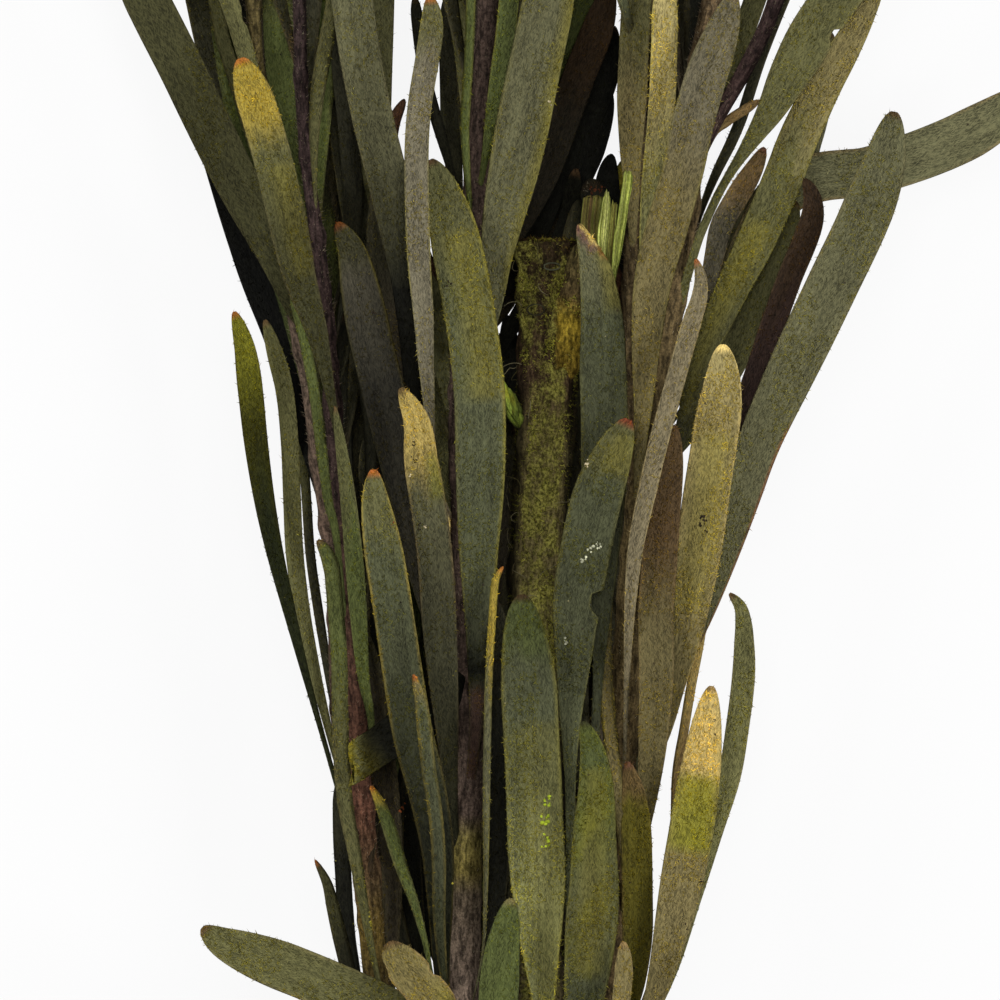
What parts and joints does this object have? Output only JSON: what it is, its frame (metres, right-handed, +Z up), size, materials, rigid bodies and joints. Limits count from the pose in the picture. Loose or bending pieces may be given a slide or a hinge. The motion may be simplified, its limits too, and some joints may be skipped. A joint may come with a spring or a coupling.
{
  "type": "leucadendron stem",
  "caption": "Branched cut foliage stem with old pruned wood, long narrow leaves and closed heads, lying on its side.",
  "frame": {"origin": "on the table, under the middle of the stem's bounding box", "axes": "+X to the right, +Y along the stem from the cut end to the heads, +Z up from the table"},
  "size_m": [0.1885, 0.4423, 0.0658],
  "materials": {
    "leaf": "matt leaf with fine flat hairs",
    "old_wood": "rough bark with moss",
    "bract": "matt bract"
  },
  "bodies": {
    "root": {"old_wood": "old_wood", "left_shoot": "leaf", "middle_shoot": "leaf", "right_shoot": "leaf", "front_shoot": "leaf", "head_1": "bract", "head_2": "bract", "head_3": "bract", "head_4": "bract"}
  },
  "joints": []
}
